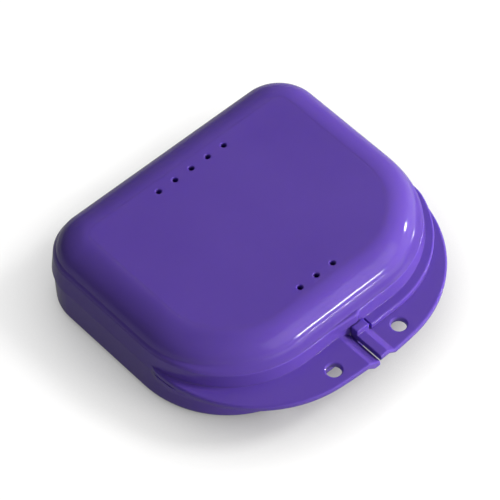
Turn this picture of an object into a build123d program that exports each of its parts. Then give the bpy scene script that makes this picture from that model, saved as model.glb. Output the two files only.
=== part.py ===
"""Retainer case: a hinged plastic box for a dental retainer, closed, in millimetres.

The lid and the base are two glossy mouldings on one steel hinge pin. A crescent lip runs round
the front. Its left half belongs to the lid and its right half to the base, so a finger and a
thumb push the two halves apart.

+X points right along the hinge, +Y points back to the hinge, and +Z points up. The origin is in
the middle of the whole case, on the surface that it stands on.
"""
import os
from math import cos, isclose, radians, sin, sqrt, tan

from build123d import *

# Overall size
case_half_width = 39.3
case_depth = 64.6
base_height = 11.65
lid_height = 11.5
seam_gap = 0.1
front_corner_radius = 26.4
back_corner_radius = 12.0

# Walls
wall = 1.4
base_inset = 0.3
base_draft = 1.3
base_edge_radius = 2.8

# Domed top of the lid, above a plain band
crown_height = 5.85
crown_lean = 12.0
crown_rounding = 0.97
band_lean = 6.0
ledge = 1.9
ledge_edge_radius = 0.5

# Locating rib of the base, inside the lid
rib_thickness = 0.9
rib_height = 1.5
rib_depth = 3.0
rib_clearance = 0.25
rib_chamfer = 0.3

# Crescent lip
lip_reach = 10.05
lip_side_reach = 0.1
lip_front_radius = 110.0
lip_corner_radius = 30.8
lip_thickness = 1.65
lip_edge_radius = 0.45
lip_tail = 6.0
foot_reach = 2.3
foot_side_reach = 1.2
foot_gap = 0.25

# Split between the two halves of the lip, and the catch
split_x = 0.05
split_gap = 0.3
lid_ramp_length = 3.1
lid_ramp_shift = 0.5
base_step_length = 2.2
base_ramp_length = 2.1
base_ramp_shift = 0.35
ramp_blend = 0.6
catch_gap = 0.3
catch_width = 3.5
catch_thickness = 2.05
catch_height = 3.05
catch_edge_radius = 0.25
bead_radius = 0.5
bead_drop = 0.9
bead_clearance = 0.12

# Swelling of the lid's wall over the catch, which rises from the left and falls off on the right
swell_length = 10.5
swell_fall = 1.4
swell_gap = 0.1
swell_blend = 2.0
swell_edge_radius = 0.6

# Holes
lanyard_spacing = 20.2
lanyard_radius = 1.85
lanyard_setback = 4.5
lanyard_chamfer = 0.25
vent_radius = 0.65
vent_pitch = 5.0
front_vent_count = 3
front_vent_setback = 11.0
back_vent_count = 5
back_vent_setback = 11.8
vent_chamfer = 0.2

# Hinge
hinge_width = 40.0
knuckle_count = 5
knuckle_gap = 0.3
hinge_offset = 1.15
barrel_radius = 1.55
barrel_clearance = 0.3
gusset_height = 2.0
pin_radius = 0.7
pin_fit = 0.02
pin_running_clearance = 0.06
pin_recess = 0.5
pin_chamfer = 0.15

# Places that follow from those sizes
overall_depth = lip_reach + case_depth + hinge_offset + barrel_radius
lip_front_y = -overall_depth / 2
front_y = lip_front_y + lip_reach
lip_half_width = case_half_width + lip_side_reach
back_y = front_y + case_depth
middle_y = (front_y + back_y) / 2
base_top = base_height
lid_bottom = base_top + seam_gap
lid_top = lid_bottom + lid_height
crease_z = lid_top - crown_height
band_inset = (crease_z - lid_bottom) * tan(radians(band_lean))
crown_inset = band_inset + ledge
crown_radius = crown_rounding * crown_height / (1 - sin(radians(crown_lean)))
crown_hollow_inset = crown_inset + wall / cos(radians(crown_lean)) - wall * tan(radians(crown_lean))
base_foot_inset = base_inset + base_height * tan(radians(base_draft))
split_left = split_x - split_gap / 2
split_right = split_x + split_gap / 2
catch_end = split_right + catch_width
catch_back_y = front_y - catch_gap
bead_z = base_top + catch_height - bead_drop
hinge_y = back_y + hinge_offset
hinge_z = base_top + seam_gap / 2
knuckle_length = (hinge_width - (knuckle_count - 1) * knuckle_gap) / knuckle_count


def case_outline(height, inset, forward=0):
    """The plan shape of the case at a height, drawn in by an inset and moved forward."""
    with BuildSketch(Plane.XY.offset(height)) as outline:
        with Locations((0, middle_y - forward)):
            Rectangle(2 * (case_half_width - inset), case_depth - 2 * inset)
        fillet(outline.vertices().group_by(Axis.Y)[0], front_corner_radius - inset)
        fillet(outline.vertices().group_by(Axis.Y)[-1], back_corner_radius - inset)
    return outline.sketch


def lip_outline(height):
    """The plan shape of the whole lip, with a straight back inside the case."""
    front_centre = Vector(0, lip_front_y + lip_front_radius)
    corner_x = lip_half_width - lip_corner_radius
    centre_distance = lip_front_radius - lip_corner_radius
    corner_centre = Vector(corner_x, front_centre.Y - sqrt(centre_distance**2 - corner_x**2))
    outward = (corner_centre - front_centre).normalized()
    join = corner_centre + outward * lip_corner_radius
    side = Vector(lip_half_width, corner_centre.Y)
    tail = Vector(case_half_width - wall, corner_centre.Y + lip_tail)
    with BuildSketch(Plane.XY.offset(height)) as outline:
        with BuildLine():
            right = TangentArc(side, join, tangent=(0, -1))
            middle = TangentArc(join, (-join.X, join.Y), tangent=right % 1)
            TangentArc(middle @ 1, (-side.X, side.Y), tangent=middle % 1)
            Polyline((-side.X, side.Y), (-tail.X, tail.Y), tail, side)
        make_face()
    return outline.sketch


def lip_profile(points):
    """The thickness of one half of the lip, seen from the front, with its bends blended."""
    with BuildSketch(Plane.XZ.offset(-back_y)) as profile:
        with BuildLine():
            Polyline(*points, close=True)
        make_face()
        bends = profile.vertices().group_by(Axis.X)[1:-1]
        fillet([vertex for group in bends for vertex in group], ramp_blend)
    return profile.sketch


def row(count, pitch, y):
    """Places of a row of holes across the case."""
    return [((index - (count - 1) / 2) * pitch, y) for index in range(count)]


def knuckle_start(index):
    """Left end of a knuckle, counted from the left."""
    return -hinge_width / 2 + index * (knuckle_length + knuckle_gap)


def knuckle(index, wall_y, rim_z, side):
    """One hinge barrel and its web. The web lies below the rim (side -1) or above it (side 1)."""
    root_y = wall_y - wall / 2
    tangent_z = hinge_z + side * barrel_radius
    with BuildSketch(Plane.YZ.offset(knuckle_start(index))) as profile:
        with Locations((hinge_y, hinge_z)):
            Circle(barrel_radius)
        with BuildLine():
            Polyline(
                (root_y, rim_z),
                (hinge_y, rim_z),
                (hinge_y, tangent_z),
                (root_y, tangent_z + side * gusset_height),
                close=True,
            )
        make_face()
    extrude(profile.sketch, amount=knuckle_length)


def hinge_cut(index, radius, margin):
    """A round cut along the hinge line, over one knuckle and a margin at each end."""
    with BuildSketch(Plane.YZ.offset(knuckle_start(index) - margin)) as section:
        with Locations((hinge_y, hinge_z)):
            Circle(radius)
    extrude(section.sketch, amount=knuckle_length + 2 * margin, mode=Mode.SUBTRACT)


def outer_lip_edges(part):
    """The long upper and lower edges round the outside of a lip."""
    rims = [f for f in part.faces().filter_by(GeomType.CYLINDER) if f.radius > back_corner_radius]
    return ShapeList([e for f in rims for e in f.edges()]).filter_by(Axis.Z, reverse=True)


def small_rims(part, radius):
    """The round edges of one radius, which are the mouths of holes."""
    return ShapeList([e for e in part.edges().filter_by(GeomType.CIRCLE) if isclose(e.radius, radius)])


base_knuckles = range(0, knuckle_count, 2)
lid_knuckles = range(1, knuckle_count, 2)

# Left half of the lip, which belongs to the lid: its end dips to the level of the other half
far_x = case_half_width + lip_reach
lid_lip_top = lid_bottom + lip_thickness
lid_ramp_x = split_left - lid_ramp_length - lid_ramp_shift
with BuildPart() as lid_lip:
    lid_lip_profile = lip_profile(
        [
            (-far_x, lid_bottom),
            (lid_ramp_x, lid_bottom),
            (split_left - lid_ramp_length / 2, base_top - lip_thickness),
            (split_left, base_top - lip_thickness),
            (split_left, lid_bottom),
            (split_left - lid_ramp_length, lid_lip_top),
            (-far_x, lid_lip_top),
        ]
    )
    extrude(lid_lip_profile, amount=case_depth + lip_reach)
    extrude(lip_outline(0), amount=lid_top, mode=Mode.INTERSECT)
    fillet(outer_lip_edges(lid_lip), lip_edge_radius)
    with BuildSketch(Plane.XY):
        with Locations((0, back_y)):
            Rectangle(4 * case_half_width, 2 * (case_depth + catch_gap))
    extrude(amount=base_top, mode=Mode.SUBTRACT)

# Right half of the lip, which belongs to the base: its end is raised in the same way
base_lip_bottom = base_top - lip_thickness
base_step_x = split_right + base_step_length
with BuildPart() as base_lip:
    base_lip_profile = lip_profile(
        [
            (far_x, base_top),
            (base_step_x + base_ramp_length, base_top),
            (base_step_x, base_top + lip_thickness),
            (split_right, base_top + lip_thickness),
            (split_right, base_top),
            (base_step_x + base_ramp_shift, base_top),
            (base_step_x + base_ramp_length + base_ramp_shift, base_lip_bottom),
            (far_x, base_lip_bottom),
        ]
    )
    extrude(base_lip_profile, amount=case_depth + lip_reach)
    extrude(lip_outline(0), amount=lid_top, mode=Mode.INTERSECT)
    fillet(outer_lip_edges(base_lip), lip_edge_radius)
    with BuildSketch(Plane.XY.offset(base_top)):
        with Locations((0, back_y)):
            Rectangle(4 * case_half_width, 2 * (case_depth + catch_gap))
    extrude(amount=lid_top, mode=Mode.SUBTRACT)

# Narrow foot that backs the other piece's half of the lip, on both pieces
foot_forward = foot_reach - foot_side_reach
with BuildPart() as lid_foot:
    extrude(case_outline(lid_bottom, -foot_side_reach, foot_forward), amount=lip_thickness)
    fillet(lid_foot.edges().group_by(Axis.Z)[-1], lip_edge_radius)
    extrude(lip_outline(0), amount=lid_top, mode=Mode.INTERSECT)
    split(bisect_by=Plane.YZ.offset(base_step_x + base_ramp_length + foot_gap), keep=Keep.TOP)

with BuildPart() as base_foot:
    extrude(case_outline(base_lip_bottom, -foot_side_reach, foot_forward), amount=lip_thickness)
    extrude(lip_outline(0), amount=lid_top, mode=Mode.INTERSECT)
    split(bisect_by=Plane.YZ.offset(lid_ramp_x - foot_gap), keep=Keep.BOTTOM)

# Swelling of the lid's wall above the catch's bead, which nearly closes on the catch
swell_z = bead_z + bead_radius + bead_clearance
swell_root_y = front_y + band_inset
with BuildPart() as lid_swell:
    with BuildSketch(Plane.XY.offset(swell_z)) as swell_outline:
        with BuildLine():
            Polyline(
                (catch_end - swell_length, swell_root_y),
                (catch_end - swell_fall, catch_back_y + swell_gap),
                (catch_end, swell_root_y),
                (catch_end, swell_root_y + wall / 2),
                (catch_end - swell_length, swell_root_y + wall / 2),
                close=True,
            )
        make_face()
        fillet(swell_outline.vertices().sort_by(Axis.Y)[0], swell_blend)
    extrude(amount=crease_z - swell_z)
    fillet(lid_swell.edges().group_by(Axis.Z)[-1].sort_by(Axis.Y)[:3], swell_edge_radius)

# Hollow of the lid
with BuildPart() as lid_hollow:
    extrude(case_outline(0, wall), amount=crease_z - wall)
    extrude(case_outline(crease_z - wall, crown_hollow_inset), amount=crown_height, taper=crown_lean)
    fillet(lid_hollow.edges().group_by(Axis.Z)[-1], crown_radius - wall)

# Hollow of the base
base_floor_inset = base_foot_inset + wall
with BuildPart() as base_hollow:
    extrude(case_outline(wall, base_floor_inset), amount=base_height, taper=-base_draft)
    fillet(base_hollow.edges().group_by(Axis.Z)[0], base_edge_radius - wall)

# Locating rib of the base, with a thicker foot that joins it to the wall below the rim
rib_inset = wall + rib_clearance
rib_foot_z = base_top - rib_depth
with BuildPart() as locating_rib:
    extrude(case_outline(rib_foot_z, rib_inset), amount=rib_depth + rib_height)
    chamfer(locating_rib.edges().group_by(Axis.Z)[-1], rib_chamfer)
    extrude(case_outline(rib_foot_z, base_inset + wall / 2), amount=rib_depth)
    hollow_inset = rib_inset + rib_thickness
    extrude(case_outline(rib_foot_z, hollow_inset), amount=rib_depth + rib_height, mode=Mode.SUBTRACT)

with BuildPart() as lid:
    extrude(case_outline(lid_bottom, 0), amount=crease_z - lid_bottom, taper=band_lean)
    fillet(lid.edges().group_by(Axis.Z)[-1], ledge_edge_radius)
    extrude(case_outline(crease_z, crown_inset), amount=crown_height, taper=crown_lean)
    fillet(lid.edges().group_by(Axis.Z)[-1], crown_radius)
    add(lid_lip.part)
    add(lid_foot.part)
    add(lid_swell.part)
    add(lid_hollow.part, mode=Mode.SUBTRACT)
    # Vent holes in the top
    with BuildSketch(Plane.XY.offset(lid_top)):
        with Locations(row(front_vent_count, vent_pitch, front_y + front_vent_setback)):
            Circle(vent_radius)
        with Locations(row(back_vent_count, vent_pitch, back_y - back_vent_setback)):
            Circle(vent_radius)
    extrude(amount=-2 * wall, mode=Mode.SUBTRACT)
    chamfer(small_rims(lid, vent_radius).group_by(Axis.Z)[-1], vent_chamfer)
    # Groove that the catch's bead snaps into
    groove_length = catch_width + 2 * catch_gap
    with BuildSketch(Plane.YZ.offset(split_right - catch_gap)):
        with Locations((catch_back_y, bead_z)):
            Circle(bead_radius + bead_clearance)
    extrude(amount=groove_length, mode=Mode.SUBTRACT)
    # Lanyard hole
    with BuildSketch(Plane.XY):
        with Locations((-lanyard_spacing / 2, lip_front_y + lanyard_setback)):
            Circle(lanyard_radius)
    extrude(amount=lid_top, mode=Mode.SUBTRACT)
    chamfer(small_rims(lid, lanyard_radius), lanyard_chamfer)
    # Hinge
    for index in base_knuckles:
        hinge_cut(index, barrel_radius + barrel_clearance, knuckle_gap)
    for index in lid_knuckles:
        knuckle(index, back_y, lid_bottom, 1)
        hinge_cut(index, pin_radius + pin_running_clearance, 0)

with BuildPart() as base:
    extrude(case_outline(0, base_foot_inset), amount=base_height, taper=-base_draft)
    fillet(base.edges().group_by(Axis.Z)[0], base_edge_radius)
    add(base_lip.part)
    add(base_foot.part)
    add(base_hollow.part, mode=Mode.SUBTRACT)
    add(locating_rib.part)
    # Catch post, with a bead that faces the lid
    with BuildSketch(Plane.XY.offset(base_lip_bottom + lip_thickness / 2)):
        with Locations((split_right, catch_back_y)):
            Rectangle(catch_width, catch_thickness, align=(Align.MIN, Align.MAX))
    extrude(amount=lip_thickness / 2 + catch_height)
    fillet(base.edges().group_by(Axis.Z)[-1], catch_edge_radius)
    with BuildSketch(Plane.YZ.offset(split_right + catch_edge_radius)):
        with Locations((catch_back_y, bead_z)):
            Circle(bead_radius)
    extrude(amount=catch_width - 2 * catch_edge_radius)
    # Lanyard hole
    with BuildSketch(Plane.XY):
        with Locations((lanyard_spacing / 2, lip_front_y + lanyard_setback)):
            Circle(lanyard_radius)
    extrude(amount=lid_top, mode=Mode.SUBTRACT)
    chamfer(small_rims(base, lanyard_radius), lanyard_chamfer)
    # Hinge
    for index in lid_knuckles:
        hinge_cut(index, barrel_radius + barrel_clearance, knuckle_gap)
    for index in base_knuckles:
        knuckle(index, back_y - base_inset, base_top, -1)
        hinge_cut(index, pin_radius + pin_fit, 0)

with BuildPart() as hinge_pin:
    with BuildSketch(Plane.YZ.offset(-hinge_width / 2 + pin_recess)):
        with Locations((hinge_y, hinge_z)):
            Circle(pin_radius)
    extrude(amount=hinge_width - 2 * pin_recess)
    chamfer(hinge_pin.edges(), pin_chamfer)

os.makedirs("parts", exist_ok=True)
base.part.label = "base"
export_step(base.part, "parts/base.step")
lid.part.label = "lid"
export_step(lid.part, "parts/lid.step")
hinge_pin.part.label = "hinge_pin"
export_step(hinge_pin.part, "parts/hinge_pin.step")
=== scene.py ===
"""Looks of a glossy purple retainer case that lies closed on a white studio floor, in metres.

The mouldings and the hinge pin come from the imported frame. This script gives them their
materials, lays a skin over the shoulder of the lid, and adds the floor, the lights and the camera.
"""
from math import atan, cos, radians, sin, tan

import bpy
from mathutils import Matrix, Vector


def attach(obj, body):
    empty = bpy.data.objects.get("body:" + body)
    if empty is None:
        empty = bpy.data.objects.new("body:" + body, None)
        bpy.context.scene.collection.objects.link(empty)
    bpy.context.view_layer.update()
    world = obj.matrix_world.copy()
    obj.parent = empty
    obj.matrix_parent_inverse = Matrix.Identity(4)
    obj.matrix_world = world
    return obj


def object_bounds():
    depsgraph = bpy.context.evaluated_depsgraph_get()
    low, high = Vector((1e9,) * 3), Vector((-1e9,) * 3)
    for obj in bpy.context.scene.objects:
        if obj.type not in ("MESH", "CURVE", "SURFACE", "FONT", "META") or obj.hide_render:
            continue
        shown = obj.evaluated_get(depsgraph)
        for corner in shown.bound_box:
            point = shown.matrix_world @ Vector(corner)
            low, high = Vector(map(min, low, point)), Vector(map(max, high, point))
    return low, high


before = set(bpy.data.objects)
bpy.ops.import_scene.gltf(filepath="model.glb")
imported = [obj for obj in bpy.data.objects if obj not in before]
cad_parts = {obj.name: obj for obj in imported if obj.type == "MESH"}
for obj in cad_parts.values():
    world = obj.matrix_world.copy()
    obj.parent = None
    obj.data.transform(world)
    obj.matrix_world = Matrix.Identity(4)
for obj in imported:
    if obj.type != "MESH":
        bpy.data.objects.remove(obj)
cad_low, cad_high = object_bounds()
centre = (Vector(cad_low) + Vector(cad_high)) / 2

# Camera, solved from the vent holes, the lanyard holes and the outline in the photograph;
# azimuth and elevation in degrees
view_azimuth = -41.833
view_elevation = 52.812
view_roll = radians(-0.938)
view_distance = 0.684866
view_target = Vector((-0.006182, -0.00251, 0.0234))
focal_over_width = 6.0993
sensor_width = 36.0
clip_near = 0.01
clip_far = 20.0

# Sizes of the lid that its shoulder follows
case_half_width = 0.0393
case_depth = 0.0646
case_middle = 0.003675
front_corner_radius = 0.0264
back_corner_radius = 0.012
crown_foot = 0.0174
band_edge_radius = 0.0005
band_edge_inset = 0.0006
crown_middle_inset = 0.009494
crown_middle_height = 0.01609

# Shoulder of the lid: a skin that swells the crown's foot towards the band. It swells most at the
# sides and the back. Each pair holds the value at the front, then the one at the sides and back.
shoulder_sink = 0.000015
low_slope = (radians(44), radians(80))
contact_slope = (radians(66), radians(76))
low_handle = (0.0009, 0.0010)
contact_handle = (0.0010, 0.0003)
roll_inset = (crown_middle_inset, 0.0093)
roll_height = (crown_middle_height, 0.0173)
roll_width = (0.007185, 0.00805)
roll_rise = (0.00716, 0.00595)
roll_end = radians(88)

# Underside of the skin, inside the lid's own wall
buried_radius = 0.00595
buried_low = radians(12)
buried_high = radians(84)
buried_inner_inset = 0.0036
buried_outer_inset = 0.0013
buried_height = 0.0164

# Steps of the skin's mesh
foot_steps = 14
roll_steps = 22
buried_steps = 8
corner_steps = 48
sharp_angle = radians(30)

# Directions in plan, in degrees, between which the skin passes from one form to the other
left_blend = (185, 235)
right_blend = (310, 350)

# Colours, linear
purple = (0.097, 0.053, 0.325)
purple_deep = (0.090, 0.048, 0.310)
steel = (0.55, 0.55, 0.57)
floor_pale = (0.27, 0.27, 0.27)
lamp_white = (1.0, 1.0, 1.0)
lamp_warm = (1.0, 0.96, 0.88)

# Light levels: 1 lights a white surface that faces the lamp to full white
key_level = 0.7
low_level = 0.7
left_level = 0.25
sheen_level = 0.32
spark_level = 0.12
side_spark_level = 0.25
watts_per_level = 9.87
lamp_distance = 1.2
spark_distance = 1.3
sky_level = 0.2
floor_glow = 0.8
floor_glow_in_gloss = 0.2
# Reach of the painted shade that dims the floor's glow under the case
floor_painted_shade_reach = 0.018
floor_reach = 4.0


def direction(azimuth, elevation):
    """Unit vector towards a place, with azimuth from the front (-Y) towards the right (+X)."""
    a, e = radians(azimuth), radians(elevation)
    return Vector((sin(a) * cos(e), -cos(a) * cos(e), sin(e)))


def node(tree, kind, **values):
    """A shader node with its properties and unlinked inputs set."""
    made = tree.nodes.new(kind)
    for key, value in values.items():
        if hasattr(made, key):
            setattr(made, key, value)
        else:
            made.inputs[key.replace("_", " ")].default_value = value
    return made


def material(name):
    """An empty node material and its principled shader."""
    made = bpy.data.materials.new(name)
    made.use_nodes = True
    return made, made.node_tree, made.node_tree.nodes["Principled BSDF"]


def case_plastic(name, bevelled):
    """Injection-moulded polypropylene: glossy, with faint waviness, flow marks and fine scuffs."""
    made, tree, shader = material(name)
    link = tree.links.new
    place = node(tree, "ShaderNodeTexCoord")
    shader.inputs["IOR"].default_value = 1.49
    shader.inputs["Specular IOR Level"].default_value = 0.3
    shader.inputs["Subsurface Weight"].default_value = 0.5
    shader.inputs["Subsurface Radius"].default_value = (0.4, 0.25, 1.0)
    shader.inputs["Subsurface Scale"].default_value = 0.002

    # Colour drifts a little where the melt flowed
    flow = node(tree, "ShaderNodeTexNoise", Scale=38.0, Detail=3.0, Roughness=0.5)
    link(place.outputs["Object"], flow.inputs["Vector"])
    tint = node(tree, "ShaderNodeValToRGB")
    tint.color_ramp.elements[0].position = 0.35
    tint.color_ramp.elements[0].color = (*purple_deep, 1)
    tint.color_ramp.elements[1].position = 0.65
    tint.color_ramp.elements[1].color = (*purple, 1)
    link(flow.outputs["Fac"], tint.inputs["Fac"])
    link(tint.outputs["Color"], shader.inputs["Base Color"])

    # Gloss varies with handling
    rub = node(tree, "ShaderNodeTexNoise", Scale=120.0, Detail=5.0, Roughness=0.6)
    link(place.outputs["Object"], rub.inputs["Vector"])
    gloss = node(tree, "ShaderNodeMapRange")
    gloss.inputs["To Min"].default_value = 0.09
    gloss.inputs["To Max"].default_value = 0.15
    link(rub.outputs["Fac"], gloss.inputs["Value"])
    link(gloss.outputs["Result"], shader.inputs["Roughness"])

    # Slow waviness of a moulded wall, then a fine orange peel
    wave = node(tree, "ShaderNodeTexNoise", Scale=260.0, Detail=2.0, Roughness=0.5)
    link(place.outputs["Object"], wave.inputs["Vector"])
    wave_bump = node(tree, "ShaderNodeBump", Strength=1.0, Distance=0.000012)
    if bevelled:
        edges = node(tree, "ShaderNodeBevel", samples=6, Radius=0.00035)
        link(edges.outputs["Normal"], wave_bump.inputs["Normal"])
    link(wave.outputs["Fac"], wave_bump.inputs["Height"])
    peel = node(tree, "ShaderNodeTexNoise", Scale=1500.0, Detail=2.0, Roughness=0.5)
    link(place.outputs["Object"], peel.inputs["Vector"])
    peel_bump = node(tree, "ShaderNodeBump", Strength=1.0, Distance=0.0000015)
    link(peel.outputs["Fac"], peel_bump.inputs["Height"])
    link(wave_bump.outputs["Normal"], peel_bump.inputs["Normal"])
    link(peel_bump.outputs["Normal"], shader.inputs["Normal"])
    return made


def pin_steel():
    """Drawn steel wire, with fine lines along it."""
    made, tree, shader = material("pin_steel_look")
    link = tree.links.new
    shader.inputs["Base Color"].default_value = (*steel, 1)
    shader.inputs["Metallic"].default_value = 1.0
    place = node(tree, "ShaderNodeTexCoord")
    stretch = node(tree, "ShaderNodeMapping")
    stretch.inputs["Scale"].default_value = (40.0, 4000.0, 4000.0)
    link(place.outputs["Object"], stretch.inputs["Vector"])
    lines = node(tree, "ShaderNodeTexNoise", Scale=1.0, Detail=3.0)
    link(stretch.outputs["Vector"], lines.inputs["Vector"])
    gloss = node(tree, "ShaderNodeMapRange")
    gloss.inputs["To Min"].default_value = 0.22
    gloss.inputs["To Max"].default_value = 0.38
    link(lines.outputs["Fac"], gloss.inputs["Value"])
    link(gloss.outputs["Result"], shader.inputs["Roughness"])
    return made


def floor_paint():
    """White floor that keeps part of the object's shadow, with painted shade dimming its glow under
    the case.
    """
    made, tree, shader = material("floor_look")
    link = tree.links.new
    shader.inputs["Roughness"].default_value = 0.9
    shader.inputs["Specular IOR Level"].default_value = 0.1
    shader.inputs["Base Color"].default_value = (*floor_pale, 1)
    ray = node(tree, "ShaderNodeLightPath")
    seen = node(tree, "ShaderNodeMath", operation="MAXIMUM")
    link(ray.outputs["Is Camera Ray"], seen.inputs[0])
    link(ray.outputs["Is Transmission Ray"], seen.inputs[1])
    mirrored = node(tree, "ShaderNodeMath", operation="MULTIPLY")
    mirrored.inputs[1].default_value = floor_glow_in_gloss
    link(ray.outputs["Is Glossy Ray"], mirrored.inputs[0])
    glow = node(tree, "ShaderNodeMath", operation="MULTIPLY_ADD")
    glow.inputs[1].default_value = floor_glow
    link(seen.outputs[0], glow.inputs[0])
    link(mirrored.outputs[0], glow.inputs[2])
    # Painted shade: ambient occlusion dims the glow near and under the case, where shade falls
    painted_shade = node(tree, "ShaderNodeAmbientOcclusion", Distance=floor_painted_shade_reach)
    glow_after_painted_shade = node(tree, "ShaderNodeMath", operation="MULTIPLY")
    link(glow.outputs[0], glow_after_painted_shade.inputs[0])
    link(painted_shade.outputs["AO"], glow_after_painted_shade.inputs[1])
    shader.inputs["Emission Color"].default_value = (1.0, 1.0, 1.0, 1.0)
    link(glow_after_painted_shade.outputs[0], shader.inputs["Emission Strength"])
    return made


def area_light(name, azimuth, elevation, distance, width, height, level, colour=lamp_white):
    """A lamp aimed at the case, whose level is what a white surface facing it renders."""
    lamp = bpy.data.lights.new(name, "AREA")
    lamp.shape = "RECTANGLE"
    lamp.size = width
    lamp.size_y = height
    lamp.energy = level * watts_per_level * distance**2
    lamp.color = colour
    made = bpy.data.objects.new(name, lamp)
    bpy.context.scene.collection.objects.link(made)
    towards = direction(azimuth, elevation)
    made.location = centre + towards * distance
    made.rotation_euler = towards.to_track_quat("Z", "Y").to_euler()
    return made


def smooth(low, high, value):
    """Smooth step from 0 at the low end to 1 at the high end."""
    part = min(max((value - low) / (high - low), 0), 1)
    return part * part * (3 - 2 * part)


def case_round():
    """Stations round the plan of the case: corner centre, direction, radius and form of the skin."""
    corners = (
        (1, 1, 0, back_corner_radius),
        (-1, 1, 90, back_corner_radius),
        (-1, -1, 180, front_corner_radius),
        (1, -1, 270, front_corner_radius),
    )
    stations = []
    for side, end, start, radius in corners:
        x = side * (case_half_width - radius)
        y = case_middle + end * (case_depth / 2 - radius)
        for step in range(corner_steps + 1):
            turn = start + step * 90 / corner_steps
            leaving = smooth(*left_blend, turn)
            coming = smooth(*right_blend, turn)
            stations.append((x, y, radians(turn), radius, 1 - leaving + coming))
    return stations


def shoulder_profile(blend):
    """Insets and heights round the skin's section, from the band up, then back inside the wall."""

    def mix(pair):
        return pair[0] + (pair[1] - pair[0]) * blend

    low, contact = mix(low_slope), mix(contact_slope)
    middle, height, width, rise = mix(roll_inset), mix(roll_height), mix(roll_width), mix(roll_rise)
    sunk = band_edge_radius - shoulder_sink
    first = Vector(
        (
            band_edge_inset + band_edge_radius - sunk * sin(low),
            crown_foot - band_edge_radius + sunk * cos(low),
        )
    )
    contact_turn = atan(rise / (width * tan(contact)))
    last = Vector((middle - width * cos(contact_turn), height + rise * sin(contact_turn)))
    after = first + mix(low_handle) * Vector((cos(low), sin(low)))
    before = last - mix(contact_handle) * Vector((cos(contact), sin(contact)))
    profile = []
    for step in range(foot_steps):
        t = step / foot_steps
        u = 1 - t
        profile.append(u**3 * first + 3 * u * u * t * after + 3 * u * t * t * before + t**3 * last)
    for step in range(roll_steps + 1):
        turn = contact_turn + (roll_end - contact_turn) * step / roll_steps
        profile.append(Vector((middle - width * cos(turn), height + rise * sin(turn))))
    # Back through the lid's own wall, a little outside its hollow
    for step in range(buried_steps + 1):
        turn = buried_high + (buried_low - buried_high) * step / buried_steps
        inset = crown_middle_inset - buried_radius * cos(turn)
        profile.append(Vector((inset, crown_middle_height + buried_radius * sin(turn))))
    profile.append(Vector((buried_inner_inset, buried_height)))
    profile.append(Vector((buried_outer_inset, buried_height)))
    return profile


def lid_shoulder():
    """The skin over the crown's foot, as a closed ring that is sunk in the lid's wall."""
    stations = case_round()
    points = []
    for x, y, turn, radius, blend in stations:
        for inset, height in shoulder_profile(blend):
            reach = radius - inset
            points.append((x + reach * cos(turn), y + reach * sin(turn), height))
    count = len(points) // len(stations)
    faces = []
    for s in range(len(stations)):
        here, there = s * count, (s + 1) % len(stations) * count
        for k in range(count):
            ahead = (k + 1) % count
            faces.append((here + k, there + k, there + ahead, here + ahead))
    mesh = bpy.data.meshes.new("lid_shoulder")
    mesh.from_pydata(points, [], faces)
    mesh.shade_smooth()
    mesh.set_sharp_from_angle(angle=sharp_angle)
    made = bpy.data.objects.new("lid_shoulder", mesh)
    bpy.context.scene.collection.objects.link(made)
    return made


def studio_floor():
    """A wide square floor under the case, at the height of its foot."""
    mesh = bpy.data.meshes.new("floor")
    corners = [(x * floor_reach, y * floor_reach, 0) for x, y in ((-1, -1), (1, -1), (1, 1), (-1, 1))]
    mesh.from_pydata(corners, [], [(0, 1, 2, 3)])
    mesh.materials.append(floor_paint())
    made = bpy.data.objects.new("floor", mesh)
    bpy.context.scene.collection.objects.link(made)
    return made


def studio_sky():
    """Even white light from all round."""
    made = bpy.data.worlds.new("studio")
    made.use_nodes = True
    background = made.node_tree.nodes["Background"]
    background.inputs["Color"].default_value = (1.0, 1.0, 1.0, 1.0)
    background.inputs["Strength"].default_value = sky_level
    return made


def studio_camera():
    """The camera at the photograph's angle, distance and roll."""
    towards = direction(view_azimuth, view_elevation)
    azimuth = radians(view_azimuth)
    level_right = Vector((cos(azimuth), sin(azimuth), 0))
    level_up = towards.cross(level_right)
    right = level_right * cos(view_roll) + level_up * sin(view_roll)
    up = level_up * cos(view_roll) - level_right * sin(view_roll)
    lens = bpy.data.cameras.new("camera")
    lens.sensor_width = sensor_width
    lens.lens = focal_over_width * sensor_width
    lens.clip_start = clip_near
    lens.clip_end = clip_far
    made = bpy.data.objects.new("camera", lens)
    bpy.context.scene.collection.objects.link(made)
    turn = Matrix((right, up, towards)).transposed().to_4x4()
    made.matrix_world = Matrix.Translation(view_target + towards * view_distance) @ turn
    return made


# Materials onto the carried-over pieces
plastic = case_plastic("case_plastic_look", True)
skin_plastic = case_plastic("case_plastic_skin", False)
wire = pin_steel()
for name in ("base", "lid"):
    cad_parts[name].material_slots[0].material = plastic
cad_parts["hinge_pin"].material_slots[0].material = wire

# Shoulder of the lid
shoulder = lid_shoulder()
shoulder.data.materials.append(skin_plastic)
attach(shoulder, "lid")

# Floor
studio_floor()

# Soft lamps light the plastic without a mirror image of themselves
soft_lamps = (
    area_light("key_lamp", 55, 46, lamp_distance, 0.3, 0.3, key_level),
    area_light("low_front_lamp", 28, 12, lamp_distance, 0.5, 0.2, low_level, lamp_warm),
    area_light("low_right_lamp", 80, 12, lamp_distance, 0.5, 0.2, low_level, lamp_warm),
    area_light("left_fill", -25, 20, lamp_distance, 0.8, 0.5, left_level),
)
for lamp in soft_lamps:
    lamp.visible_glossy = False

# Lamps that the plastic mirrors: a broad sheen and two narrow highlights
area_light("sheen_panel", 25, 26, lamp_distance, 1.3, 0.8, sheen_level, lamp_warm)
area_light("front_spark", 24, 1.2, spark_distance, 0.14, 0.02, spark_level)
area_light("side_spark", 71, 6, spark_distance, 0.1, 0.03, side_spark_level)
bpy.context.scene.world = studio_sky()

# Camera
bpy.context.scene.camera = studio_camera()
bpy.context.scene.view_settings.view_transform = "Standard"
